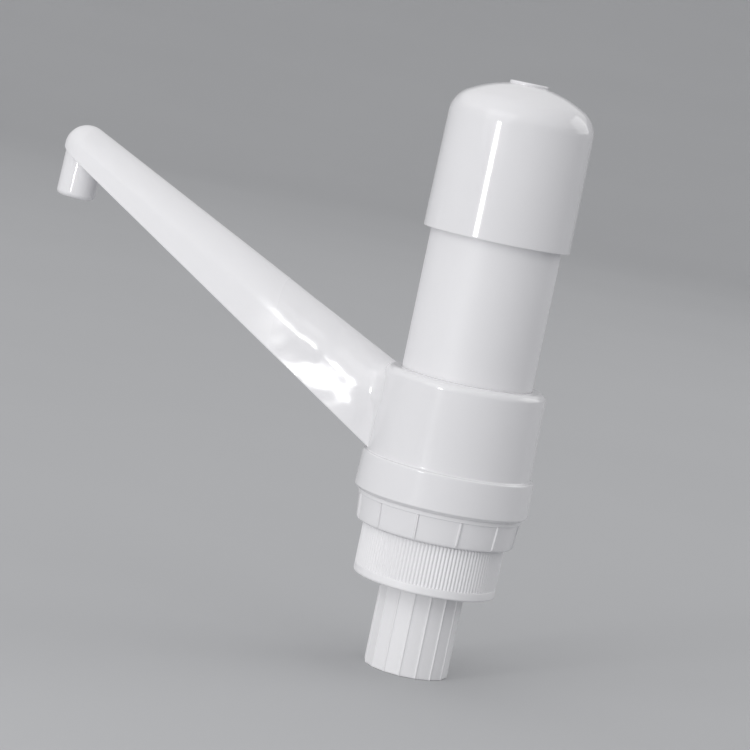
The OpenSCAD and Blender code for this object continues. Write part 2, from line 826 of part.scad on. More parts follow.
// The arm's outer shape, or with inset its inner space, reaching below the foot by drop
module arm_solid(inset, drop, n) {
    mid = [for (j = [0 : n]) arch_point(0, inset, j * 180 / n)];
    root = [for (j = [0 : n]) arch_point(arm_in, inset, j * 180 / n)];
    caps = [for (k = [1 : dome_steps]) for (j = [1 : n - 1]) end_point(inset, j * 180 / n, k / dome_steps)];
    hem = [for (j = [1 : n - 1]) on_foot(end_point(inset, j * 180 / n, 1), drop)];
    feet = [on_foot(mid[0], drop), on_foot(mid[n], drop), on_foot(root[0], drop), on_foot(root[n], drop)];
    // Order of the points: mid arch, root arch, feet, caps, hem
    root_at = n + 1;
    feet_at = 2 * n + 2;
    caps_at = feet_at + 4;
    hem_at = caps_at + dome_steps * (n - 1);
    function cap_at(k, j) =
        k == 0 || (j == 0 || j == n) && k <= dome_steps ? j
        : k <= dome_steps ? caps_at + (k - 1) * (n - 1) + j - 1
        : j == 0 ? feet_at
        : j == n ? feet_at + 1
        : hem_at + j - 1;
    arch = [for (j = [0 : n - 1]) each [[j, root_at + j + 1, j + 1], [j, root_at + j, root_at + j + 1]]];
    walls = [
        [feet_at, root_at, 0], [feet_at, feet_at + 2, root_at],
        [n, feet_at + 3, feet_at + 1], [n, root_at + n, feet_at + 3]
    ];
    end_steps = [for (k = [0 : dome_steps]) for (j = [0 : n - 1]) each [
        [cap_at(k, j), cap_at(k, j + 1), cap_at(k + 1, j + 1)],
        [cap_at(k, j), cap_at(k + 1, j + 1), cap_at(k + 1, j)]
    ]];
    ends = [for (f = end_steps) if (f[0] != f[1] && f[1] != f[2] && f[0] != f[2]) f];
    foot = concat(
        [[feet_at, feet_at + 3, feet_at + 2], [feet_at, feet_at + 1, feet_at + 3]],
        [for (j = [1 : n - 1]) [feet_at, cap_at(dome_steps + 1, j), cap_at(dome_steps + 1, j + 1)]]
    );
    back = concat(
        [for (j = [0 : n - 1]) [feet_at + 2, root_at + j + 1, root_at + j]],
        [[feet_at + 2, feet_at + 3, root_at + n]]
    );
    polyhedron(concat(mid, root, feet, caps, hem), concat(arch, walls, ends, foot, back), convexity = 6);
}

// Everything above the arm's foot, raised by lift
module above_foot(lift, size = 400) {
    translate([tip_x, 0, z_foot]) rotate([0, atan(foot_slope), 0])
        translate([-size / 2, -size / 2, lift]) cube([size, size, size]);
}

module outside_bulkhead(gap, size = 400) {
    translate([x_bulkhead - gap - size, -size / 2, -size / 2]) cube([size, size, size]);
}

module spout_arm() {
    color(plastic) difference() {
        union() {
            difference() {
                arm_solid(0, 0, arch_steps);
                rotate_extrude($fn = smooth) body_outline();
                translate([0, 0, z_part]) cylinder(h = skirt_h, r = body_r, $fn = smooth);
                translate([0, 0, z_part]) cylinder(h = body_h + cyl_h, r = cyl_r + run_gap, $fn = smooth);
            }
            rod_x(port_spigot_r, x_bulkhead + join, x_port_in, z_port);
        }
        intersection() {
            arm_solid(arm_wall, over, inner_steps);
            outside_bulkhead(0);
        }
        rod_x(port_spigot_bore_r, x_bulkhead - over, 0, z_port);
    }
}

module nozzle_outline() {
    difference() {
        union() {
            square([nozzle_r - nozzle_edge_r, nozzle_l]);
            translate([0, nozzle_edge_r]) square([nozzle_r, nozzle_l - nozzle_edge_r]);
            translate([nozzle_r - nozzle_edge_r, nozzle_edge_r]) circle(nozzle_edge_r, $fn = smooth);
        }
        translate([-over, -over]) square([outlet_r + over, outlet_depth + over]);
        translate([-over, -over]) square([outlet_throat_r + over, nozzle_l + 2 * over]);
    }
}

module nozzle_place() {
    translate([nozzle_x, 0, z_nozzle]) rotate([0, nozzle_lean, 0]) children();
}

module spout_cover() {
    color(plastic) difference() {
        union() {
            difference() {
                nozzle_place() rotate_extrude($fn = smooth) nozzle_outline();
                above_foot(0);
            }
            difference() {
                intersection() {
                    arm_solid(arm_wall + cover_gap, cover_proud, inner_steps);
                    outside_bulkhead(cover_gap);
                }
                above_foot(cover_t);
            }
        }
        nozzle_place() translate([0, 0, outlet_depth - over])
            cylinder(h = nozzle_l + spout_reach * foot_slope, r = outlet_throat_r, $fn = smooth);
    }
}

// ---- outlet valve ------------------------------------------------------------------------------

module outlet_seat() {
    ear_y = (pin_l - ear_t) / 2;
    ear_low = z_port + port_spigot_bore_r - ear_bite;
    color(inner_plastic) difference() {
        union() {
            rod_x(port_tube_r, x_bulkhead, x_port_in, z_port);
            rod_x(port_flange_r, x_bulkhead - port_flange_t, x_bulkhead, z_port);
            rod_x(port_lip_r, x_port_end, x_bulkhead - port_flange_t + join, z_port);
            for (side = [-1, 1]) translate([0, side * ear_y, 0]) {
                rod_y(barrel_r, ear_t, pin_x, pin_z);
                translate([pin_x, -ear_t / 2, pin_z - barrel_r])
                    cube([x_bulkhead - pin_x, ear_t, 2 * barrel_r]);
                translate([x_port_end + port_lip_h, -ear_t / 2, ear_low])
                    cube([port_flange_t, ear_t, pin_z - ear_low]);
            }
        }
        rod_x(port_r, x_port_end - over, 0, z_port);
        rod_y(pin_r + ear_pin_gap, pin_l + over, pin_x, pin_z);
    }
}

module outlet_flap() {
    tab_w = barrel_l - tab_step;
    color(seal_rubber) difference() {
        union() {
            rod_x(flap_r, x_flap - flap_t, x_flap, z_port);
            translate([x_flap - flap_t, -tab_w / 2, z_port]) cube([flap_t, tab_w, pin_z - z_port]);
            rod_y(barrel_r, barrel_l, pin_x, pin_z);
        }
        rod_y(pin_r + pin_gap, barrel_l + 2 * over, pin_x, pin_z);
    }
}

module flap_pin() {
    color(steel) rod_y(pin_r, pin_l, pin_x, pin_z);
}

bottle_collar();
tailpiece();
neck_gasket();
tail_o_ring();
base_nut();
base_gasket();
inlet_seat();
inlet_ball();
inlet_cage();
return_spring();
pump_body();
pump_cylinder();
cylinder_gasket();
guide_bush();
piston();
piston_seal();
piston_screw();
piston_rod();
push_cap();
cap_screw();
crown_disc();
spout_arm();
spout_cover();
outlet_seat();
outlet_flap();
flap_pin();
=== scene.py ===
import math

import bmesh
import bpy
from mathutils import Matrix, Vector


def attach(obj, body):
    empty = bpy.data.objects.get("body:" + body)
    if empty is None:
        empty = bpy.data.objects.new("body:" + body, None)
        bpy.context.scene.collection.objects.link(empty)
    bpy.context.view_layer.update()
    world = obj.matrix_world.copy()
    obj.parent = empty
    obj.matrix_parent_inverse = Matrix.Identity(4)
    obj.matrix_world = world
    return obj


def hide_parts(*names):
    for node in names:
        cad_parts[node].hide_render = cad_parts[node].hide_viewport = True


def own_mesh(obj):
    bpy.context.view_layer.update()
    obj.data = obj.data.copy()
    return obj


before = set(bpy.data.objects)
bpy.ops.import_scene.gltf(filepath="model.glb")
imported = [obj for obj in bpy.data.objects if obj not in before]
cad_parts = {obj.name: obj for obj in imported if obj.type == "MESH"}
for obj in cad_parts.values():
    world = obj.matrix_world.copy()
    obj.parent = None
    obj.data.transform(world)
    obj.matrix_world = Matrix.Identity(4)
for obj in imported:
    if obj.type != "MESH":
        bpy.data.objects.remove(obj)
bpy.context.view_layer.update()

MM = 0.001

# ---- sizes in millimetres, the same as the solids' ---------------------------------------------

# Heights that several pieces share
Z_TAIL, Z_GASKET, Z_FLANGE, Z_RING, Z_COLLAR = -32.2, 14.1, 16.3, 16.6, 18.8
Z_NUT, Z_PLUG, Z_CAGE, Z_PART, Z_STEP = 19.1, 29.0, 30.4, 30.1, 44.3
Z_ROOF, Z_SHOULDER, Z_PISTON, Z_RIM, Z_TUBE, Z_DOME = 72.4, 76.2, 112.2, 127.3, 130.0, 183.4

# Push cap and crown disc
CAP_R0, CAP_R1, DOME_R, EDGE_R, SHELL = 26.65, 26.25, 42.0, 10.5, 2.3
BOSS_R, RECESS_R, SCREW_HOLE_R, ROD_HOLE_R, WEB_T = 8.5, 6.2, 2.05, 3.7, 2
Z_BOSS, Z_RECESS, Z_SEAT = 172.3, 179.3, 182.8
DISC_R, DISC_GAP, DISC_T, DISC_SPIGOT_R, DISC_SPIGOT_L = 7.0, 0.2, 1.1, 6.1, 0.5

# Pump cylinder
TUBE_R, TUBE_BORE, BELL_R, BELL_BORE = 23.75, 21.4, 26.8, 24.7
Z_BELL, Z_CEILING, Z_BELL_TOP = 41.2, 69.6, 71.4

# Pump body
BODY_R0, BODY_R1, SKIRT_R0, SKIRT_R1, BODY_BORE = 30.0, 29.35, 31.9, 31.4, 26.9
SKIRT_FOOT_R, SKIRT_CHAMFER, SHOULDER_R = 30.3, 1.3, 5.0

# Base nut, with its ribs
NUT_R, NUT_BORE, NUT_CUP_R, NUT_SPIGOT_R, NUT_SPIGOT_BORE = 30.1, 17.5, 20.5, 26.8, 24.4
NUT_INSET, NUT_TAPER, NUT_FLOOR = 0.4, 0.6, 2.5
Z_NUT_RIM, Z_NUT_TOP = Z_PART - 1.4, 40.1
NUT_RIBS, NUT_RIB_H, NUT_RIB_W, NUT_TURN = 12, 0.5, 1.0, -2.0
NUT_RIB_FOOT, NUT_RIB_RISE = 0.25, 1.2

# Bottle collar, with its ribs and its thread
COLLAR_R, COLLAR_BORE, COLLAR_HOLE, COLLAR_BAND = 26.0, 24.2, 19.2, 3.1
COLLAR_RIBS, RIB_H = 120, 0.4
THREAD_PITCH, THREAD_TURNS, THREAD_DEPTH, THREAD_Z = 5.0, 1.6, 1.1, 2.2

# Tailpiece, with its beads, and the gasket above it
TAIL_R, TAIL_BORE, SOCKET_R, SOCKET_DEPTH = 15.6, 9.5, 12.7, 22
TAIL_FACETS, BEAD_R, TAIL_TURN = 16, 0.35, math.radians(5)
FLANGE_R, NECK_R, PLUG_R, PLUG_BORE, Z_PLUG_FLOOR = 22.8, 18.9, 17.4, 14.3, 25.0
GASKET_BORE, GASKET_T = 15.9, 2

# Spout arm
TIP = Vector((-158.9, 0, 127.478))
TIP_R, TIP_DEPTH, SPOUT_ANGLE = 8.3, 5.6, math.radians(27)
ARM_L, ROOT_W, ROOT_TOP, ROOT_DEPTH, ARM_WALL = 144.67, 10.5, 14.5, 15.9, 2.0
X_BULKHEAD = -32.4

# Spout cover, with its nozzle
COVER_T, COVER_GAP = 2.0, 0.1
NOZZLE_X, NOZZLE_R, Z_NOZZLE, NOZZLE_LEAN = -160.0, 7.2, 108.578, math.radians(2.4)
NOZZLE_EDGE, NOZZLE_L, OUTLET_R, OUTLET_DEPTH, OUTLET_STEP = 1.8, 14.6, 5.2, 7.5, 1.2

# Return spring
COIL_R, WIRE_R, COIL_TURNS, END_PITCH, COIL_GAP = 17.5, 0.9, 11, 2.3, 0.1


# ---- outlines and solids -----------------------------------------------------------------------

def rounded(corners, steps=5):
    """The closed outline of (x, y, radius) corners, each with its arc."""
    out = []
    count = len(corners)
    for i, (x, y, r) in enumerate(corners):
        p = Vector((x, y))
        a = Vector(corners[i - 1][:2]) - p
        b = Vector(corners[(i + 1) % count][:2]) - p
        if r <= 0 or a.length < 1e-6 or b.length < 1e-6:
            out.append((x, y))
            continue
        half = a.angle(b) / 2
        cut = min(r / math.tan(half), 0.49 * a.length, 0.49 * b.length)
        r = cut * math.tan(half)
        a.normalize()
        b.normalize()
        centre = p + (a + b).normalized() * (r / math.sin(half))
        start = p + a * cut - centre
        end = p + b * cut - centre
        turn = math.atan2(start.x * end.y - start.y * end.x, start.dot(end))
        for k in range(steps + 1):
            t = turn * k / steps
            out.append((centre.x + start.x * math.cos(t) - start.y * math.sin(t),
                        centre.y + start.x * math.sin(t) + start.y * math.cos(t)))
    return out


def arc(cx, cy, r, start, end, steps):
    """Points on a circle, angles in degrees from the x axis, with no rounding of their own."""
    angles = [math.radians(start + (end - start) * k / steps) for k in range(steps + 1)]
    return [(cx + r * math.cos(t), cy + r * math.sin(t), 0) for t in angles]


def supported(outline, near=0.2):
    """Adds points close to the ends of long sides, so that shading stays flat up to the bends."""
    out = []
    for i, (x, y) in enumerate(outline):
        u, v = outline[(i + 1) % len(outline)]
        length = math.hypot(u - x, v - y)
        out.append((x, y))
        if length > 5 * near:
            for t in (near / length, 1 - near / length):
                out.append((x + (u - x) * t, y + (v - y) * t))
    return out


def turn_angles(count):
    return [2 * math.pi * i / count for i in range(count)]


def lathe(outline, angles, swell=None):
    """Turns a closed (r, z) outline about Z. swell(r, z, angle) is what a point gains in radius."""
    outline = supported(outline)
    rows, count = len(angles), len(outline)
    verts = []
    for a in angles:
        c, s = math.cos(a), math.sin(a)
        for r, z in outline:
            far = r + (swell(r, z, a) if swell else 0)
            verts.append((far * c, far * s, z))
    faces = []
    for j in range(rows):
        k = (j + 1) % rows
        for i in range(count):
            h = (i + 1) % count
            faces.append((j * count + i, k * count + i, k * count + h, j * count + h))
    return verts, faces


def loft(rings):
    """A closed skin over rings of as many points each."""
    count = len(rings[0])
    verts = [p for ring in rings for p in ring]
    faces = []
    for j in range(len(rings) - 1):
        for i in range(count):
            h = (i + 1) % count
            faces.append((j * count + i, j * count + h, (j + 1) * count + h, (j + 1) * count + i))
    faces.append(tuple(range(count - 1, -1, -1)))
    faces.append(tuple((len(rings) - 1) * count + i for i in range(count)))
    return verts, faces


def grid(rows):
    """An open skin over rows of as many points each."""
    count = len(rows[0])
    faces = [(j * count + i, j * count + i + 1, (j + 1) * count + i + 1, (j + 1) * count + i)
             for j in range(len(rows) - 1) for i in range(count - 1)]
    return [p for row in rows for p in row], faces


def fan(points):
    """One flat face over the points."""
    return points, [tuple(range(len(points)))]


def make(name, parts, body, nodes, material, sharp=32):
    """One piece from (verts, faces) parts in millimetres, riding on a body in place of CAD nodes."""
    bm = bmesh.new()
    for verts, faces in parts:
        made = [bm.verts.new((x * MM, y * MM, z * MM)) for x, y, z in verts]
        for face in faces:
            bm.faces.new([made[i] for i in face])
    bmesh.ops.remove_doubles(bm, verts=bm.verts, dist=2e-7)
    bmesh.ops.dissolve_degenerate(bm, edges=bm.edges, dist=1e-7)
    bmesh.ops.recalc_face_normals(bm, faces=bm.faces)
    mesh = bpy.data.meshes.new(name)
    bm.to_mesh(mesh)
    bm.free()
    mesh.polygons.foreach_set("use_smooth", [True] * len(mesh.polygons))
    mesh.set_sharp_from_angle(angle=math.radians(sharp))
    mesh.materials.append(material)
    piece = bpy.data.objects.new(name, mesh)
    bpy.context.scene.collection.objects.link(piece)
    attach(piece, body)
    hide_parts(*nodes)
    return piece


# ---- material nodes ----------------------------------------------------------------------------

def new_material(name):
    mat = bpy.data.materials.new(name)
    mat.use_nodes = True
    return mat, mat.node_tree, mat.node_tree.nodes["Principled BSDF"]


def own_space(tree):
    return tree.nodes.new("ShaderNodeTexCoord").outputs["Object"]


def noise(tree, place, scale, detail):
    made = tree.nodes.new("ShaderNodeTexNoise")
    made.inputs["Scale"].default_value = scale
    made.inputs["Detail"].default_value = detail
    tree.links.new(place, made.inputs["Vector"])
    return made.outputs["Fac"]


def tones(tree, value, dark, light, start=0.0, end=1.0):
    """A colour that runs from dark to light while the value runs from start to end."""
    ramp = tree.nodes.new("ShaderNodeValToRGB")
    first, last = ramp.color_ramp.elements
    first.position, last.position = start, end
    first.color, last.color = (*dark, 1), (*light, 1)
    tree.links.new(value, ramp.inputs["Fac"])
    return ramp.outputs["Color"]


def spread_over(tree, value, low, high):
    """Lays a value between 0 and 1 over low to high."""
    band = tree.nodes.new("ShaderNodeMapRange")
    band.inputs["To Min"].default_value = low
    band.inputs["To Max"].default_value = high
    tree.links.new(value, band.inputs["Value"])
    return band.outputs["Result"]


def ease(tree, value, start, end, low=0.0, high=1.0):
    """Runs smoothly from low at start to high at end."""
    ramp = tree.nodes.new("ShaderNodeMapRange")
    ramp.interpolation_type = "SMOOTHERSTEP"
    ramp.inputs["From Min"].default_value = start
    ramp.inputs["From Max"].default_value = end
    ramp.inputs["To Min"].default_value = low
    ramp.inputs["To Max"].default_value = high
    tree.links.new(value, ramp.inputs["Value"])
    return ramp.outputs["Result"]


def combine(tree, operation, first, second):
    made = tree.nodes.new("ShaderNodeMath")
    made.operation = operation
    tree.links.new(first, made.inputs[0])
    tree.links.new(second, made.inputs[1])
    return made.outputs["Value"]


def bumped(tree, height, strength, distance):
    bump = tree.nodes.new("ShaderNodeBump")
    bump.inputs["Strength"].default_value = strength
    bump.inputs["Distance"].default_value = distance
    tree.links.new(height, bump.inputs["Height"])
    return bump


# ---- materials ---------------------------------------------------------------------------------

CLOUD_SCALE, CLOUD_DETAIL, CLOUD_DARK, CLOUD_SPAN = 22, 4, 0.975, (0.3, 0.7)
GLOSS_SCALE, GLOSS_DETAIL = 70, 5
GRAIN_SCALE, GRAIN_DETAIL, GRAIN_DEPTH = 900, 3, 0.00002
WAVE_SCALE, WAVE_DETAIL = 55, 1
PLASTIC_IOR, MILKY_RADIUS, MILKY_DEPTH = 1.5, (1, 1, 1), 0.002

# The arm's wall near its root: along x, where the warp sets in, is full, and ends again, in metres
ARM_ZONE = (-0.090, -0.058, -0.040, -0.026)
ZONE_WAVE_SCALE, ZONE_POLISH = 80, 0.26
LEAN_CENTRE, LEAN_SLOPE, LEAN_REACH = (-0.053, 0, 0.064), (18, 0, -46), 0.7

STEEL_STRETCH, STEEL_DETAIL = (60, 60, 1800), 4
STEEL_DARK, STEEL_LIGHT, STEEL_ROUGHNESS = (0.48, 0.48, 0.50), (0.66, 0.66, 0.67), (0.22, 0.4)


def warp(tree, place, waves):
    """The waves about zero, with a lean of the wall about a point near the arm's root."""
    away = tree.nodes.new("ShaderNodeVectorMath")
    away.operation = "SUBTRACT"
    away.inputs[1].default_value = LEAN_CENTRE
    tree.links.new(place, away.inputs[0])
    lean = tree.nodes.new("ShaderNodeVectorMath")
    lean.operation = "DOT_PRODUCT"
    lean.inputs[1].default_value = LEAN_SLOPE
    tree.links.new(away.outputs["Vector"], lean.inputs[0])
    centred = tree.nodes.new("ShaderNodeMath")
    centred.operation = "SUBTRACT"
    centred.inputs[1].default_value = 0.5
    tree.links.new(waves, centred.inputs[0])
    leaning = ease(tree, lean.outputs["Value"], -LEAN_REACH, LEAN_REACH)
    return combine(tree, "ADD", centred.outputs["Value"], leaning)


def plastic(name, colour, roughness, grain=0.5, wave=0.0, milky=0.12, spread=0.05, zone=None):
    """Moulded plastic: clouded colour, uneven gloss, fine grain and long sink waves.

    With a zone, the waves keep to it and come with a warp, and the wall is glossier from its
    start on.
    """
    mat, tree, shader = new_material(name)
    place = own_space(tree)
    colours = tones(tree, noise(tree, place, CLOUD_SCALE, CLOUD_DETAIL),
                    [c * CLOUD_DARK for c in colour], colour, *CLOUD_SPAN)
    tree.links.new(colours, shader.inputs["Base Color"])
    rough = spread_over(tree, noise(tree, place, GLOSS_SCALE, GLOSS_DETAIL),
                        roughness - spread, roughness + spread)
    if zone:
        axes = tree.nodes.new("ShaderNodeSeparateXYZ")
        tree.links.new(place, axes.inputs["Vector"])
        x = axes.outputs["X"]
        inside = combine(tree, "MULTIPLY",
                         ease(tree, x, zone[0], zone[1]), ease(tree, x, zone[3], zone[2]))
        polish = ease(tree, x, zone[0], zone[1], 1, ZONE_POLISH)
        rough = combine(tree, "MULTIPLY", rough, polish)
    tree.links.new(rough, shader.inputs["Roughness"])
    bump = bumped(tree, noise(tree, place, GRAIN_SCALE, GRAIN_DETAIL), grain, GRAIN_DEPTH)
    if wave:
        scale = ZONE_WAVE_SCALE if zone else WAVE_SCALE
        height = noise(tree, place, scale, WAVE_DETAIL)
        if zone:
            height = combine(tree, "MULTIPLY", warp(tree, place, height), inside)
        tree.links.new(bumped(tree, height, 1, wave).outputs["Normal"], bump.inputs["Normal"])
    tree.links.new(bump.outputs["Normal"], shader.inputs["Normal"])
    shader.inputs["IOR"].default_value = PLASTIC_IOR
    shader.inputs["Subsurface Weight"].default_value = milky
    shader.inputs["Subsurface Radius"].default_value = MILKY_RADIUS
    shader.inputs["Subsurface Scale"].default_value = MILKY_DEPTH
    return mat


def steel_material():
    """Stainless steel with fine drawn lines."""
    mat, tree, shader = new_material("steel")
    shader.inputs["Metallic"].default_value = 1
    stretch = tree.nodes.new("ShaderNodeMapping")
    stretch.inputs["Scale"].default_value = STEEL_STRETCH
    tree.links.new(own_space(tree), stretch.inputs["Vector"])
    lines = noise(tree, stretch.outputs["Vector"], 1, STEEL_DETAIL)
    tree.links.new(tones(tree, lines, STEEL_DARK, STEEL_LIGHT), shader.inputs["Base Color"])
    tree.links.new(spread_over(tree, lines, *STEEL_ROUGHNESS), shader.inputs["Roughness"])
    return mat


WHITE, MATT_WHITE, INNER_WHITE = (0.80, 0.795, 0.81), (0.86, 0.855, 0.868), (0.62, 0.66, 0.70)
BLACK = (0.022, 0.022, 0.024)

gloss_white = plastic("gloss_white", WHITE, 0.10, grain=0.12, wave=0.000012, spread=0.03)
arm_white = plastic("arm_white", WHITE, 0.50, grain=0.12, wave=0.0007, zone=ARM_ZONE)
tube_white = plastic("tube_white", WHITE, 0.50, grain=0.3, wave=0.00001)
matt_white = plastic("matt_white", MATT_WHITE, 0.38, grain=0.8)
inner_white = plastic("inner_white", INNER_WHITE, 0.42, grain=0.8)
rubber = plastic("rubber", BLACK, 0.55, grain=1.0, milky=0, spread=0.08)
steel = steel_material()

# ---- push cap and its crown disc ---------------------------------------------------------------

EDGE_X = CAP_R1 - EDGE_R
DOME_C = Z_DOME - DOME_R
EDGE_Z = DOME_C + math.sqrt((DOME_R - EDGE_R) ** 2 - EDGE_X ** 2)
LEAN = math.degrees(math.asin(EDGE_X / (DOME_R - EDGE_R)))


def cap_outline():
    mouth = DISC_R + DISC_GAP
    outer_end = 90 - math.degrees(math.asin((mouth + 0.15) / DOME_R))
    inner_start = 90 - math.degrees(math.asin(BOSS_R / (DOME_R - SHELL)))
    top = DOME_C + math.sqrt(DOME_R ** 2 - mouth ** 2)
    return rounded(
        [(CAP_R0 - 0.05, Z_RIM, 0.22), (CAP_R0, Z_RIM + 0.6, 0.3)]
        + arc(EDGE_X, EDGE_Z, EDGE_R, 0, 90 - LEAN, 14)
        + arc(0, DOME_C, DOME_R, 90 - LEAN, outer_end, 14)
        + [(mouth, top, 0.12), (mouth, Z_SEAT, 0),
           (RECESS_R, Z_SEAT, 0), (RECESS_R, Z_RECESS, 0),
           (SCREW_HOLE_R, Z_RECESS, 0), (SCREW_HOLE_R, Z_RECESS - WEB_T, 0),
           (ROD_HOLE_R, Z_RECESS - WEB_T, 0), (ROD_HOLE_R, Z_BOSS, 0.2), (BOSS_R, Z_BOSS, 0.3)]
        + arc(0, DOME_C, DOME_R - SHELL, inner_start, 90 - LEAN, 10)
        + arc(EDGE_X, EDGE_Z, EDGE_R - SHELL, 90 - LEAN, 0, 10)
        + [(TUBE_R + 0.4, Z_RIM + 0.3, 0), (TUBE_R + 0.7, Z_RIM, 0)],
        steps=4)


make("cap_shell", [lathe(cap_outline(), turn_angles(192))],
     "plunger", ["push_cap"], gloss_white)

# The disc's face is slightly dished
disc_top = Z_SEAT + DISC_T
disc_outline = rounded(
    [(0, Z_SEAT, 0), (0, disc_top - 0.12, 0), (2.2, disc_top - 0.1, 0), (4.4, disc_top, 0),
     (DISC_R, disc_top, 0.4), (DISC_R, Z_SEAT, 0), (DISC_SPIGOT_R, Z_SEAT, 0),
     (DISC_SPIGOT_R, Z_SEAT - DISC_SPIGOT_L, 0), (0, Z_SEAT - DISC_SPIGOT_L, 0)], steps=5)
make("cap_crown_disc", [lathe(disc_outline, turn_angles(96))],
     "plunger", ["crown_disc"], gloss_white)

# ---- pump cylinder and body --------------------------------------------------------------------

tube_outline = rounded(
    [(BELL_BORE, Z_BELL, 0.1), (BELL_R, Z_BELL, 0.1), (BELL_R, Z_BELL_TOP, 0.1),
     (TUBE_R, Z_BELL_TOP, 0), (TUBE_R, Z_TUBE, 0.8), (TUBE_BORE, Z_TUBE, 0.2),
     (TUBE_BORE, Z_CEILING, 0), (BELL_BORE, Z_CEILING, 0)], steps=5)
make("cylinder_tube", [lathe(tube_outline, turn_angles(160))],
     "pump", ["pump_cylinder"], tube_white)

body_outline = rounded(
    [(BODY_BORE, Z_PART, 0.15), (SKIRT_FOOT_R, Z_PART, 0.25),
     (SKIRT_R0, Z_PART + SKIRT_CHAMFER, 0.5), (SKIRT_R1, Z_STEP, 1.3),
     (BODY_R0 - 0.01, Z_STEP, 0.7), (BODY_R1, Z_SHOULDER, SHOULDER_R),
     (TUBE_R + 0.1, Z_SHOULDER, 0.25), (TUBE_R + 0.1, Z_ROOF, 0), (BODY_BORE, Z_ROOF, 0)],
    steps=8)
make("body_shell", [lathe(body_outline, turn_angles(192))],
     "pump", ["pump_body"], gloss_white)

# ---- base nut with its ribs --------------------------------------------------------------------

NUT_RIB_STEP = 2 * math.pi / NUT_RIBS
NUT_RIB_ANGLE = NUT_RIB_W / NUT_R
NUT_WALL_R = 28.2


def nut_swell(r, z, a):
    """Ribs on the outer wall alone, fading in over its foot."""
    if r < NUT_WALL_R or z < Z_NUT + NUT_RIB_FOOT or z > Z_NUT_RIM - 0.02:
        return 0
    off = (a - math.radians(NUT_TURN)) % NUT_RIB_STEP
    if off > NUT_RIB_ANGLE:
        return 0
    across = math.sin(math.pi * off / NUT_RIB_ANGLE)
    up = min(1, (z - Z_NUT - NUT_RIB_FOOT) / NUT_RIB_RISE)
    return NUT_RIB_H * min(1, across * 1.6) * up


def nut_angles():
    """Close together over each rib, and wide between them."""
    out = []
    for i in range(NUT_RIBS):
        start = math.radians(NUT_TURN) + i * NUT_RIB_STEP
        out += [start + NUT_RIB_ANGLE * t
                for t in (0, 0.04, 0.12, 0.22, 0.4, 0.6, 0.78, 0.88, 0.96, 1)]
        out += [start + NUT_RIB_ANGLE + (NUT_RIB_STEP - NUT_RIB_ANGLE) * t / 10
                for t in range(1, 10)]
    return out


low = NUT_R - NUT_INSET - NUT_TAPER
nut_outline = rounded(
    [(NUT_BORE, Z_NUT, 0.2), (low - 0.2, Z_NUT, 1.5), (low, Z_NUT + 1.7, 0),
     (low + 0.15, Z_NUT + 3.5, 0), (low + 0.3, Z_NUT + 5.5, 0), (low + 0.45, Z_NUT + 7.5, 0),
     (NUT_R - NUT_INSET, Z_NUT_RIM - 0.1, 0.08), (NUT_R, Z_NUT_RIM, 0.12), (NUT_R, Z_PART, 0.15),
     (NUT_SPIGOT_R, Z_PART, 0), (NUT_SPIGOT_R, Z_NUT_TOP, 0.2), (NUT_SPIGOT_BORE, Z_NUT_TOP, 0.2),
     (NUT_SPIGOT_BORE, Z_NUT + NUT_FLOOR, 0.3), (NUT_CUP_R, Z_NUT + NUT_FLOOR, 0.3),
     (NUT_CUP_R, Z_PLUG, 0.2), (NUT_BORE, Z_PLUG, 0.2)], steps=6)
make("base_nut_ribbed", [lathe(nut_outline, nut_angles(), nut_swell)],
     "pump", ["base_nut"], gloss_white)

# ---- bottle collar with fine ribs and its inside thread ----------------------------------------

COLLAR_STEPS = COLLAR_RIBS * 8
THREAD_STEPS, THREAD_FADE = 72, 10


def collar_swell(r, z, a):
    """Ribs above the plain band, on the outer wall alone."""
    if r < COLLAR_R - 0.5 or z < COLLAR_BAND - 0.01 or r > COLLAR_R - 0.2:
        return 0
    wave = math.cos(a * COLLAR_RIBS)
    return RIB_H * (0.15 + 0.85 * (0.5 + 0.5 * wave) ** 0.8)


def thread_rings():
    """Sections of the thread, as (r, dz) about its middle, running out at both ends."""
    steps = int(THREAD_TURNS * THREAD_STEPS)
    rings = []
    for i in range(steps + 1):
        a = 2 * math.pi * i / THREAD_STEPS
        z = THREAD_Z + THREAD_PITCH * i / THREAD_STEPS
        fade = min(1, i / THREAD_FADE, (steps - i) / THREAD_FADE)
        crest = COLLAR_BORE - max(0.15, THREAD_DEPTH * fade)
        root = COLLAR_BORE + 0.4
        section = [(root, -1.3), (crest + 0.3, -0.75), (crest, -0.45),
                   (crest, 0.45), (crest + 0.3, 0.75), (root, 1.3)]
        rings.append([(r * math.cos(a), r * math.sin(a), z + dz) for r, dz in section])
    return rings


core = COLLAR_R - RIB_H
collar_outline = rounded(
    [(COLLAR_BORE, 0, 0.3), (COLLAR_R, 0, 1.5), (COLLAR_R, COLLAR_BAND, 0.1),
     (core, COLLAR_BAND + 0.3, 0), (core, 8, 0), (core, 13, 0), (core, Z_COLLAR - 0.5, 0),
     (core - 0.15, Z_COLLAR - 0.1, 0), (core - 0.5, Z_COLLAR, 0), (COLLAR_HOLE, Z_COLLAR, 0.2),
     (COLLAR_HOLE, Z_RING, 0.2), (COLLAR_BORE, Z_RING, 0)], steps=6)
make("collar_ribbed",
     [lathe(collar_outline, turn_angles(COLLAR_STEPS), collar_swell), loft(thread_rings())],
     "collar", ["bottle_collar"], matt_white)

# ---- fluted tailpiece and the gasket above it --------------------------------------------------

TAIL_STEP = 2 * math.pi / TAIL_FACETS
BEAD_SHARE, BEAD_MARGIN = 0.6, 1.15


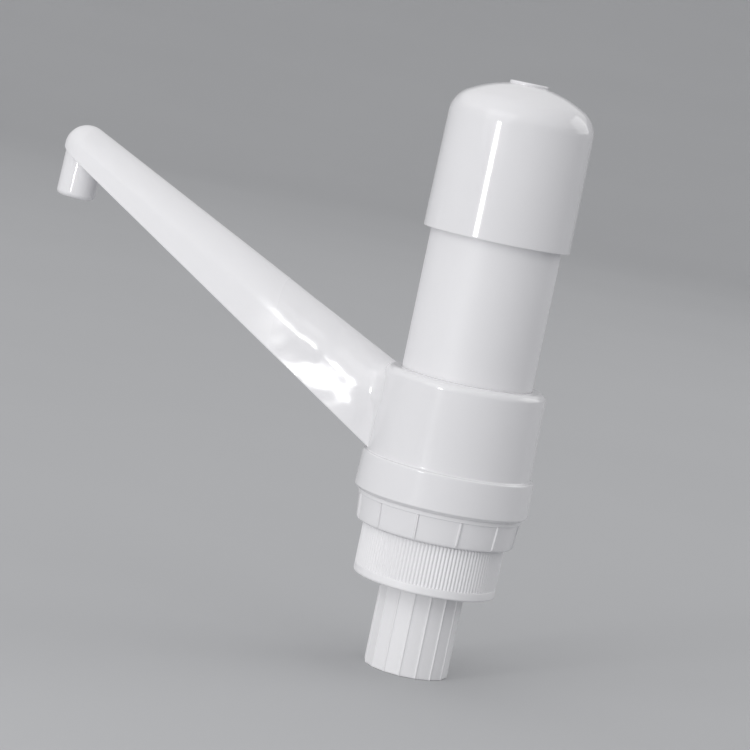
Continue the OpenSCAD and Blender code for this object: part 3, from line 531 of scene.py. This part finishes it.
def tail_swell(r, z, a):
    """Half as deep as flats, with low beads on the edges between them."""
    if abs(r - TAIL_R) > 0.35 or z > Z_GASKET:
        return 0
    off = (a - TAIL_TURN + TAIL_STEP / 2) % TAIL_STEP - TAIL_STEP / 2
    edge = TAIL_R - BEAD_R
    mid = TAIL_STEP / 2 - abs(off)
    flat = edge * (0.5 + 0.5 * math.cos(TAIL_STEP / 2) / math.cos(mid))
    side = edge * math.sin(abs(off))
    bead = edge * math.cos(off) + math.sqrt(BEAD_R ** 2 - side ** 2) if side < BEAD_R else 0
    return flat + max(0, bead - flat) * BEAD_SHARE - TAIL_R


def tail_angles():
    """Close together over each bead, and wide between them."""
    edge = BEAD_R / (TAIL_R - BEAD_R)
    reach = edge * BEAD_MARGIN
    offs = [-reach] + [edge * t for t in (-1, -0.9, -0.7, -0.4, 0, 0.4, 0.7, 0.9, 1)] + [reach]
    offs += [reach + (TAIL_STEP - 2 * reach) * t / 6 for t in range(1, 6)]
    return [TAIL_TURN + i * TAIL_STEP + o for i in range(TAIL_FACETS) for o in offs]


tail_outline = rounded(
    [(SOCKET_R, Z_TAIL, 0.4), (TAIL_R, Z_TAIL, 0.3), (TAIL_R, Z_GASKET, 0),
     (FLANGE_R, Z_GASKET, 0.2), (FLANGE_R, Z_FLANGE, 0.2), (NECK_R, Z_FLANGE, 0),
     (NECK_R, Z_NUT, 0.1), (PLUG_R, Z_NUT, 0), (PLUG_R, Z_PLUG, 0.2), (PLUG_BORE, Z_PLUG, 0.2),
     (PLUG_BORE, Z_PLUG_FLOOR, 0), (TAIL_BORE, Z_PLUG_FLOOR, 0.2),
     (TAIL_BORE, Z_TAIL + SOCKET_DEPTH, 0.3), (SOCKET_R, Z_TAIL + SOCKET_DEPTH, 0.2)], steps=5)
make("tail_fluted", [lathe(tail_outline, tail_angles(), tail_swell)],
     "pump", ["tailpiece"], matt_white)

gasket_outline = rounded(
    [(GASKET_BORE, Z_GASKET - GASKET_T, 0.3), (FLANGE_R, Z_GASKET - GASKET_T, 0.3),
     (FLANGE_R, Z_GASKET, 0.1), (GASKET_BORE, Z_GASKET, 0.1)])
make("neck_seal", [lathe(gasket_outline, turn_angles(128))],
     "pump", ["neck_gasket"], rubber)

# ---- spout arm ---------------------------------------------------------------------------------

ALONG = Vector((math.cos(SPOUT_ANGLE), 0, -math.sin(SPOUT_ANGLE)))
UP = Vector((math.sin(SPOUT_ANGLE), 0, math.cos(SPOUT_ANGLE)))
TOP_SLOPE = (ROOT_TOP - TIP_R) / ARM_L
WIDTH_SLOPE = (ROOT_W - TIP_R) / ARM_L
RISE = ARM_L * math.sin(SPOUT_ANGLE)
RUN = ARM_L * math.cos(SPOUT_ANGLE)
FOOT_SLOPE = (RISE - TIP_DEPTH + ROOT_DEPTH) / RUN
FOOT_EDGE = 0.35

# How many parts the arch, the round end, the arm's length, its foot and the fillet are cut into,
# and how far down the wall its rows lie
ARCH, LUNE, STATIONS, SPAN, BLEND = 44, 16, 36, 12, 8
EDGE_STEPS = 5
DOWN = (0.02, 0.12, 0.26, 0.41, 0.56, 0.71, 0.86, 0.98, 1)

# How far before and after its own length the arm is looked at for where it meets the body, and
# the reach of the fillet there, by the share of the arm's height
BEFORE_ROOT, PAST_ROOT = 12, 10
BLEND_REACH = ((0, 0.35), (0.12, 0.9), (0.36, 1.4), (0.43, 2.2), (0.54, 5.0), (0.82, 7.0),
               (0.94, 4.0), (1, 1.2))
INSIDE_BODY = Vector((-28.5, 0, 60))


def foot_z(x):
    return TIP.z - TIP_DEPTH + (TIP.x - x) * FOOT_SLOPE


def arch_point(x, inset, a):
    """Over the arm at local x, a running from 0 on the far side to pi on the near one."""
    w = TIP_R + WIDTH_SLOPE * x - inset
    top = TIP_R + TOP_SLOPE * x - inset
    return TIP + ALONG * x + Vector((0, w * math.cos(a), 0)) + UP * (top * math.sin(a))


def end_point(inset, a, lean):
    """On the round end, lean running from 0 at the arch to 1 where it is level."""
    r = (TIP_R - inset) * math.sin(a)
    turn = SPOUT_ANGLE - lean * (math.pi / 2 + SPOUT_ANGLE)
    return TIP + Vector((r * math.sin(turn), (TIP_R - inset) * math.cos(a), r * math.cos(turn)))


def column(top, out, edge):
    """Down the wall from its upper end to the foot, with a round edge if it has one."""
    high = top.z - foot_z(top.x)
    rows = [Vector((top.x, top.y, top.z - (high - edge) * t)) for t in DOWN]
    if not edge:
        return rows
    corner = rows[-1]
    for k in range(1, EDGE_STEPS + 1):
        a = math.pi / 2 * k / EDGE_STEPS
        p = corner + out * (edge * (math.cos(a) - 1))
        rows.append(Vector((p.x, p.y, foot_z(p.x) + edge * (1 - math.sin(a)))))
    return rows


def section(x, inset, edge):
    """Foot to foot over the arm at local x."""
    arch = [arch_point(x, inset, math.pi * i / ARCH) for i in range(ARCH + 1)]
    far = column(arch[0], Vector((0, 1, 0)), edge)
    near = column(arch[-1], Vector((0, -1, 0)), edge)
    return far[::-1] + arch + near


def closed_section(x):
    """The outside at local x, closed along the foot."""
    points = section(x, 0, FOOT_EDGE)
    return points + [points[-1].lerp(points[0], k / SPAN) for k in range(1, SPAN)]


def round_end(inset, edge):
    """The end's dome, the wall under it and the points of the wall's foot."""
    angles = [math.pi * i / ARCH for i in range(ARCH + 1)]
    dome = [[end_point(inset, a, k / LUNE) for a in angles] for k in range(LUNE + 1)]
    walls = [[top] + column(top, Vector((-math.sin(a), math.cos(a), 0)), edge)
             for a, top in zip(angles, dome[-1])]
    return grid(dome), grid(walls), [wall[-1] for wall in walls]


def body_distance(p):
    """How far a point lies outside the body's side, shoulder or top, and which way is out."""
    r = math.hypot(p.x, p.y)
    side = BODY_R0 - (BODY_R0 - BODY_R1) * (p.z - Z_STEP) / (Z_SHOULDER - Z_STEP)
    r_round, z_round = BODY_R1 + 0.1 - SHOULDER_R, Z_SHOULDER - SHOULDER_R
    round_out = Vector((p.x / r, p.y / r, 0))
    if p.z <= z_round:
        return r - side, round_out
    if r <= r_round:
        return p.z - Z_SHOULDER, Vector((0, 0, 1))
    far = math.hypot(r - r_round, p.z - z_round)
    return far - SHOULDER_R, (round_out * (r - r_round) + Vector((0, 0, p.z - z_round))) / far


def root_meeting(a, b):
    """Where the straight run from a to b enters the body."""
    outside, within = 0.0, 1.0
    for _ in range(40):
        mid = (outside + within) / 2
        if body_distance(a.lerp(b, mid))[0] > 0:
            outside = mid
        else:
            within = mid
    return a.lerp(b, outside)


def blend_size(h):
    """Reach of the fillet at h, the share of the arm's height at its root."""
    for (h0, d0), (h1, d1) in zip(BLEND_REACH, BLEND_REACH[1:]):
        if h <= h1:
            return d0 + (d1 - d0) * (h - h0) / (h1 - h0)
    return BLEND_REACH[-1][1]


stations = [closed_section((ARM_L + PAST_ROOT) * k / STATIONS) for k in range(STATIONS + 1)]
outer_count = len(section(0, 0, FOOT_EDGE))
near_root, finish = closed_section(ARM_L - BEFORE_ROOT), stations[-1]
meets = [root_meeting(a, b) for a, b in zip(near_root, finish)]
middle = sum(meets, Vector()) / len(meets)
z_low, z_high = min(p.z for p in meets), max(p.z for p in meets)


def blend_run(i):
    """From the arm over the fillet onto the body, for the i-th run along the arm."""
    corner = meets[i]
    along = (finish[i] - near_root[i]).normalized()
    around = meets[(i + 1) % len(meets)] - meets[i - 1]
    out = around.cross(along).normalized()
    if out.dot(corner - middle) < 0:
        out = -out
    wall = body_distance(corner)[1]
    away = (out - wall * out.dot(wall)).normalized()
    reach = blend_size((corner.z - z_low) / (z_high - z_low))
    start, end = corner - along * reach, corner + away * reach
    for _ in range(3):
        off, wall = body_distance(end)
        end = end - wall * (off + 0.02)
    shares = [k / BLEND for k in range(BLEND + 1)]
    run = [start * (1 - t) ** 2 + corner * (2 * t * (1 - t)) + end * t ** 2 for t in shares]
    return run + [end - wall * 0.3]


def up_to(line, end):
    """The line at even steps, as far as the end, which is its last point."""
    reach = (end - line[0]).dot(ALONG)
    total = (line[-1] - line[0]).dot(ALONG)
    points = []
    for k in range(STATIONS):
        at = reach / total * k
        before = int(at)
        points.append(line[before].lerp(line[before + 1], at - before))
    return points + [end]


def rim(skin, foot):
    """The foot's outline, up the far side, round the end and back along the near side."""
    return [row[0] for row in skin[:0:-1]] + foot + [row[-1] for row in skin[1:]]


# The outside, with the fillet onto the body and the end that closes it in there
runs = [blend_run(i) for i in range(len(meets))]
columns = [up_to([row[i] for row in stations], run[0]) for i, run in enumerate(runs[:outer_count])]
outer = [list(row) for row in zip(*columns)]
blend_rows = [[run[k] for run in runs] + [runs[0][k]] for k in range(BLEND + 2)]
plug = [run[-1] for run in runs] + [INSIDE_BODY]
plug_faces = [(i, (i + 1) % len(runs), len(runs)) for i in range(len(runs))]

# The inside, up to the bulkhead, and the solid foot between the bulkhead and the body
inner_start = section(0, ARM_WALL, 0)
inner_finish = section(ARM_L + PAST_ROOT, ARM_WALL, 0)
inner_end = [a.lerp(b, (X_BULKHEAD - a.x) / (b.x - a.x))
             for a, b in zip(inner_start, inner_finish)]
inner = [[a.lerp(b, k / STATIONS) for a, b in zip(inner_start, inner_end)]
         for k in range(STATIONS + 1)]
under = [run[0] for run in runs[outer_count - 1:]] + [runs[0][0], inner_end[0], inner_end[-1]]

dome, walls, foot_out = round_end(0, FOOT_EDGE)
inner_dome, inner_walls, foot_in = round_end(ARM_WALL, 0)
rims = grid([rim(outer, foot_out), rim(inner, foot_in)])
make("spout_arm_shell",
     [grid(outer), dome, walls, grid(inner), inner_dome, inner_walls, rims, grid(blend_rows),
      (plug, plug_faces), fan(under), fan(inner_end)],
     "pump", ["spout_arm"], arm_white, sharp=38)

# ---- spout cover with the nozzle ---------------------------------------------------------------

LIFT = COVER_T / math.cos(math.atan(FOOT_SLOPE))
COVER_CHAMFER, COVER_PROUD = 0.15, 0.05


def cover_ring(inset, lift):
    """Round the plate, from the body along the far side, round the end and back."""
    inset += ARM_WALL + COVER_GAP
    side = []
    for k in range(STATIONS + 1):
        x = X_BULKHEAD - COVER_GAP + (TIP.x - X_BULKHEAD + COVER_GAP) * k / STATIONS
        side.append((x, TIP_R + WIDTH_SLOPE * (x - TIP.x) / math.cos(SPOUT_ANGLE) - inset))
    r = TIP_R - inset
    turn = [(TIP.x - r * math.sin(a), r * math.cos(a))
            for a in [math.pi * k / ARCH for k in range(1, ARCH)]]
    path = side + turn + [(x, -y) for x, y in side[::-1]]
    return [Vector((x, y, foot_z(x) + lift)) for x, y in path]


def leaned(verts):
    """Puts the upright nozzle in its place, with its upper end inside the sloping plate."""
    lean_x, lean_z = math.cos(NOZZLE_LEAN), math.sin(NOZZLE_LEAN)
    inside = 14
    moved = []
    for x, y, z in verts:
        if z > inside:
            base = Z_NOZZLE - x * lean_z
            z = (foot_z(NOZZLE_X + x * lean_x + inside * lean_z) - base + 0.6) / lean_x
        moved.append((NOZZLE_X + x * lean_x + z * lean_z, y,
                      Z_NOZZLE - x * lean_z + z * lean_x))
    return moved


plate = loft([cover_ring(COVER_CHAMFER, -COVER_PROUD), cover_ring(0, 0.1), cover_ring(0, LIFT)])
nozzle_outline = rounded(
    [(OUTLET_R, 0.15, 0), (OUTLET_R + 0.15, 0, 0)]
    + arc(NOZZLE_R - NOZZLE_EDGE, NOZZLE_EDGE, NOZZLE_EDGE, -90, 0, 10)
    + [(NOZZLE_R, NOZZLE_L, 0), (OUTLET_R - OUTLET_STEP, NOZZLE_L, 0),
       (OUTLET_R - OUTLET_STEP, OUTLET_DEPTH, 0.2), (OUTLET_R, OUTLET_DEPTH, 0.2)], steps=5)
nozzle_verts, nozzle_faces = lathe(nozzle_outline, turn_angles(128))
make("spout_cover_nozzle", [plate, (leaned(nozzle_verts), nozzle_faces)],
     "pump", ["spout_cover"], gloss_white)

# ---- return spring, one fixed coil, though the real one shortens with the stroke ---------------


def spring_rings(steps=40, sides=12):
    """Rings round the wire, with the first and the last turn laid close for flat ends."""
    length = Z_PISTON - Z_CAGE - 2 * WIRE_R - COIL_GAP
    pitch = (length - 2 * END_PITCH) / (COIL_TURNS - 2)
    rings = []
    for i in range(COIL_TURNS * steps + 1):
        t = i / steps
        a = 2 * math.pi * t
        rise = END_PITCH * min(t, 1) + pitch * max(t - 1, 0)
        if t > COIL_TURNS - 1:
            rise = length - END_PITCH * (COIL_TURNS - t)
        ring = []
        for k in range(sides):
            b = 2 * math.pi * k / sides
            r = COIL_R + WIRE_R * math.cos(b)
            z = Z_CAGE + WIRE_R + rise + WIRE_R * math.sin(b)
            ring.append((r * math.cos(a), r * math.sin(a), z))
        rings.append(ring)
    return rings


coil = make("return_spring_coil", [loft(spring_rings())], "pump", ["return_spring"], steel)
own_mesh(coil)

# ---- the hidden pieces keep their solids and get their materials -------------------------------

CAD_MATERIALS = {
    rubber: ["tail_o_ring", "base_gasket", "cylinder_gasket", "piston_seal", "outlet_flap"],
    inner_white: ["inlet_seat", "inlet_cage", "guide_bush", "piston", "piston_rod", "outlet_seat"],
    steel: ["inlet_ball", "piston_screw", "cap_screw", "flap_pin"],
}
for material, names in CAD_MATERIALS.items():
    for name in names:
        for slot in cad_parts[name].material_slots:
            slot.material = material

# ---- camera, at the photograph's angle ---------------------------------------------------------

CAMERA_AT, CAMERA_ROUND = Vector((0, -1.0007, 0.1794)), math.radians(12)
PAN, TILT, ROLL = math.radians(-1.866), math.radians(-6.212), math.radians(11.81)
SENSOR, FOCAL_LENGTH = 36, 134.3

forward = Vector((math.sin(PAN) * math.cos(TILT), math.cos(PAN) * math.cos(TILT), math.sin(TILT)))
right = Vector((math.cos(PAN), -math.sin(PAN), 0))
up = right.cross(forward)
axis_x = right * math.cos(ROLL) + up * math.sin(ROLL)
axis_y = up * math.cos(ROLL) - right * math.sin(ROLL)
pose = Matrix((axis_x, axis_y, -forward)).transposed().to_4x4()
pose.translation = CAMERA_AT
lens = bpy.data.cameras.new("camera")
lens.sensor_width = SENSOR
lens.lens = FOCAL_LENGTH
camera = bpy.data.objects.new("camera", lens)
camera.matrix_world = Matrix.Rotation(CAMERA_ROUND, 4, "Z") @ pose
bpy.context.scene.collection.objects.link(camera)
bpy.context.scene.camera = camera

# ---- floor and light, in metres ----------------------------------------------------------------

FLOOR_R, CURVE_R, BACKDROP_TOP = 3.2, 1.2, 1.8
FLOOR_SIDES, CURVE_STEPS = 96, 12
FLOOR_DARK, FLOOR_LIGHT, FLOOR_SCALE = (0.475, 0.48, 0.49), (0.495, 0.50, 0.51), 30
FLOOR_ROUGHNESS, FLOOR_SHINE = 0.9, 0.2
LIGHT_AIM, STRIP_AIM = (0, 0, 0.09), (0, 0, 0.12)
WORLD_COLOUR, WORLD_STRENGTH = (0.93, 0.93, 0.94), 0.80


def stage_material():
    mat, tree, shader = new_material("paper")
    shader.inputs["Roughness"].default_value = FLOOR_ROUGHNESS
    shader.inputs["Specular IOR Level"].default_value = FLOOR_SHINE
    mottle = tree.nodes.new("ShaderNodeTexNoise")
    mottle.inputs["Scale"].default_value = FLOOR_SCALE
    tree.links.new(tones(tree, mottle.outputs["Fac"], FLOOR_DARK, FLOOR_LIGHT),
                   shader.inputs["Base Color"])
    return mat


def stage_sheet():
    """A floor that runs up into a backdrop all round, so that every view has one."""
    bend = [math.radians(90 * i / CURVE_STEPS) for i in range(1, CURVE_STEPS + 1)]
    profile = [(FLOOR_R, 0)]
    profile += [(FLOOR_R + CURVE_R * math.sin(t), CURVE_R - CURVE_R * math.cos(t)) for t in bend]
    profile.append((FLOOR_R + CURVE_R, BACKDROP_TOP))
    bm = bmesh.new()
    rows = []
    for a in turn_angles(FLOOR_SIDES):
        rows.append([bm.verts.new((r * math.cos(a), r * math.sin(a), z + Z_TAIL * MM))
                     for r, z in profile])
    centre = bm.verts.new((0, 0, Z_TAIL * MM))
    for i, row in enumerate(rows):
        following = rows[(i + 1) % FLOOR_SIDES]
        bm.faces.new((centre, row[0], following[0]))
        for j in range(len(row) - 1):
            bm.faces.new((row[j], row[j + 1], following[j + 1], following[j]))
    mesh = bpy.data.meshes.new("studio_floor")
    bm.to_mesh(mesh)
    bm.free()
    mesh.polygons.foreach_set("use_smooth", [True] * len(mesh.polygons))
    mesh.materials.append(stage_material())
    return bpy.data.objects.new("studio_floor", mesh)


def area_light(name, at, target, width, height, power):
    lamp = bpy.data.lights.new(name, "AREA")
    lamp.shape = "RECTANGLE"
    lamp.size, lamp.size_y = width, height
    lamp.energy = power
    lamp_object = bpy.data.objects.new(name, lamp)
    aim = Vector(target) - Vector(at)
    turn = aim.to_track_quat("-Z", "Y").to_matrix().to_4x4()
    lamp_object.matrix_world = Matrix.Translation(at) @ turn
    bpy.context.scene.collection.objects.link(lamp_object)


floor = stage_sheet()
bpy.context.scene.collection.objects.link(floor)

area_light("strip_light", (-0.334, -0.880, 0.12), STRIP_AIM, width=0.08, height=0.14, power=2.2)
area_light("soft_light", (-1.05, -2.3, 1.1), LIGHT_AIM, width=2.2, height=2.0, power=18.5)
area_light("back_light", (1.9, 1.7, 1.3), LIGHT_AIM, width=1.8, height=1.6, power=12.0)

world = bpy.data.worlds.new("studio")
world.use_nodes = True
background = world.node_tree.nodes["Background"]
background.inputs["Color"].default_value = (*WORLD_COLOUR, 1)
background.inputs["Strength"].default_value = WORLD_STRENGTH
bpy.context.scene.world = world
bpy.context.scene.view_settings.view_transform = "Standard"
